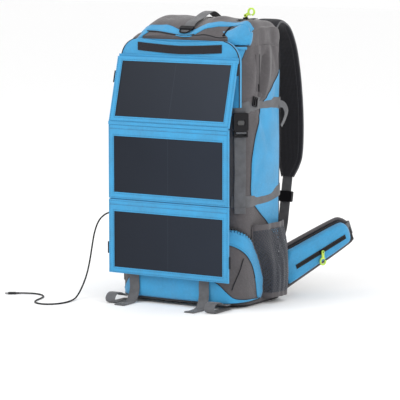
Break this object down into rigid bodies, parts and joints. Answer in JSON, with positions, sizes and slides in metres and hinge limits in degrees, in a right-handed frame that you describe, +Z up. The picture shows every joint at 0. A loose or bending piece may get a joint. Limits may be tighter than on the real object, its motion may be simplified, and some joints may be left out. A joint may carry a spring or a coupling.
{
  "type": "solar phone charger",
  "caption": "Fold-out solar phone charger sewn onto the front of a hiking backpack, with a USB phone lead, hinged lid, padded straps and hip belt.",
  "frame": {"origin": "centre of the flat base the pack stands on", "axes": "+Z up, -Y the solar side, +Y the wearer's side, +X the pack's left as worn, right as seen from the solar side"},
  "size_m": [0.6068, 0.579, 0.6384],
  "materials": {
    "fabric_grey": "warm grey woven nylon",
    "fabric_blue": "bright blue woven nylon",
    "padding": "black air-mesh over foam",
    "webbing": "grey woven webbing",
    "mesh_fabric": "dark mesh",
    "frame_plastic": "flexible sheet",
    "stay_metal": "mill finish",
    "black_plastic": "moulded",
    "zip_tape": "coil zip tape",
    "zip_metal": "black painted",
    "lime_plastic": "moulded, translucent edge",
    "solar_laminate": "satin film over dark cells",
    "stiffener_board": "sheet",
    "circuit_board": "solder mask",
    "socket_steel": "plated shell",
    "cord_jacket": "round black cord",
    "plug_plastic": "moulded black plug"
  },
  "bodies": {
    "pack": {"main_bag": "fabric_grey", "back_pad": "padding", "frame_sheet": "frame_plastic", "frame_stays": "stay_metal", "haul_handle": "webbing", "stow_sleeve": "fabric_blue", "hook_and_loop_strip": "zip_tape", "lower_pocket": "fabric_grey", "lower_pocket_band": "fabric_blue", "compression_straps": "webbing", "base_straps": "webbing", "charger_case": "black_plastic", "usb_socket": "socket_steel", "charger_board": "circuit_board", "mesh_pocket_left": "mesh_fabric", "mesh_pocket_right": "mesh_fabric", "side_buckle_socket_left": "black_plastic", "side_buckle_socket_right": "black_plastic", "shoulder_strap_left": "padding", "shoulder_strap_right": "padding", "shoulder_webbing_left": "webbing", "shoulder_webbing_right": "webbing"},
    "lid": {"top_lid": "fabric_grey", "lid_zip_tape": "zip_tape", "lid_strap": "webbing", "lid_strap_hook": "black_plastic"},
    "lid_slider": {"lid_zip_slider": "zip_metal"},
    "lid_pull": {"lid_zip_pull": "lime_plastic"},
    "panel_1": {"solar_cover_1": "fabric_blue", "solar_board_1": "stiffener_board", "solar_laminate_1": "solar_laminate"},
    "panel_2": {"solar_cover_2": "fabric_blue", "solar_board_2": "stiffener_board", "solar_laminate_2": "solar_laminate"},
    "panel_3": {"solar_cover_3": "fabric_blue", "solar_board_3": "stiffener_board", "solar_laminate_3": "solar_laminate"},
    "lead": {"lead_usb_plug": "black_plastic", "lead_cord": "cord_jacket", "lead_phone_plug": "plug_plastic"},
    "hip_right": {"hip_wing_right": "padding", "hip_pocket_right": "fabric_blue", "hip_zip_tape_right": "zip_tape", "hip_webbing_right": "webbing", "hip_buckle_plug": "black_plastic"},
    "hip_slider_right": {"hip_zip_slider_right": "zip_metal"},
    "hip_pull_right": {"hip_zip_pull_right": "lime_plastic"},
    "side_plug_right": {"side_buckle_plug_right": "black_plastic", "side_strap_tail_right": "webbing"},
    "adjuster_right": {"strap_adjuster_right": "black_plastic"},
    "hip_left": {"hip_wing_left": "padding", "hip_pocket_left": "fabric_blue", "hip_zip_tape_left": "zip_tape", "hip_webbing_left": "webbing", "hip_buckle_socket": "black_plastic"},
    "hip_slider_left": {"hip_zip_slider_left": "zip_metal"},
    "hip_pull_left": {"hip_zip_pull_left": "lime_plastic"},
    "side_plug_left": {"side_buckle_plug_left": "black_plastic", "side_strap_tail_left": "webbing"},
    "adjuster_left": {"strap_adjuster_left": "black_plastic"}
  },
  "joints": [
    {"name": "lid_hinge", "type": "hinge", "parent": "pack", "child": "lid", "pos_m": [0, 0.084, 0.606], "axis": [-1, 0, 0], "range_deg": [0, 100]},
    {"name": "lid_zip", "type": "slide", "parent": "lid", "child": "lid_slider", "axis": [0, -1, 0], "range_m": [-0.034, 0.024]},
    {"name": "lid_pull_swing", "type": "hinge", "parent": "lid_slider", "child": "lid_pull", "pos_m": [0.1, 0.014, 0.6209], "axis": [0, 1, 0], "range_deg": [-130, 20]},
    {"name": "sheet_lift", "type": "hinge", "parent": "pack", "child": "panel_1", "pos_m": [0, -0.0995, 0.532], "axis": [-1, 0, 0], "range_deg": [0, 42]},
    {"name": "fold_1", "type": "hinge", "parent": "panel_1", "child": "panel_2", "pos_m": [0, -0.14375, 0.39001], "axis": [-1, 0, 0], "range_deg": [0, 187]},
    {"name": "fold_2", "type": "hinge", "parent": "panel_2", "child": "panel_3", "pos_m": [0, -0.13635, 0.22501], "axis": [-1, 0, 0], "range_deg": [-175.5, 0]},
    {"name": "lead_unplug", "type": "slide", "parent": "pack", "child": "lead", "axis": [-1, 0, 0], "range_m": [0, 0.02]},
    {"name": "hip_hinge_right", "type": "hinge", "parent": "pack", "child": "hip_right", "pos_m": [0.129, 0.12, 0.052], "axis": [0, 0, 1], "range_deg": [-20, 25]},
    {"name": "hip_zip_right", "type": "slide", "parent": "hip_right", "child": "hip_slider_right", "axis": [0.3365, 0.8665, 0.3687], "range_m": [-0.068, 0.066]},
    {"name": "hip_pull_swing_right", "type": "hinge", "parent": "hip_slider_right", "child": "hip_pull_right", "pos_m": [0.18937, 0.19987, 0.09051], "axis": [0.9322, -0.362, 0], "range_deg": [-120, 120]},
    {"name": "side_buckle_right", "type": "slide", "parent": "pack", "child": "side_plug_right", "axis": [0, 0, -1], "range_m": [0, 0.03]},
    {"name": "strap_adjust_right", "type": "slide", "parent": "pack", "child": "adjuster_right", "axis": [0, -0.192, -0.9814], "range_m": [-0.026, 0.028]},
    {"name": "hip_hinge_left", "type": "hinge", "parent": "pack", "child": "hip_left", "pos_m": [-0.129, 0.12, 0.052], "axis": [0, 0, -1], "range_deg": [-20, 25]},
    {"name": "hip_zip_left", "type": "slide", "parent": "hip_left", "child": "hip_slider_left", "axis": [-0.3365, 0.8665, 0.3687], "range_m": [-0.068, 0.066]},
    {"name": "hip_pull_swing_left", "type": "hinge", "parent": "hip_slider_left", "child": "hip_pull_left", "pos_m": [-0.18937, 0.19987, 0.09051], "axis": [0.9322, 0.362, 0], "range_deg": [-120, 120]},
    {"name": "side_buckle_left", "type": "slide", "parent": "pack", "child": "side_plug_left", "axis": [0, 0, -1], "range_m": [0, 0.03]},
    {"name": "strap_adjust_left", "type": "slide", "parent": "pack", "child": "adjuster_left", "axis": [0, -0.192, -0.9814], "range_m": [-0.026, 0.028]}
  ],
  "couplings": [
    {"joint": "fold_2", "follows": "fold_1", "ratio": -0.93583}
  ]
}
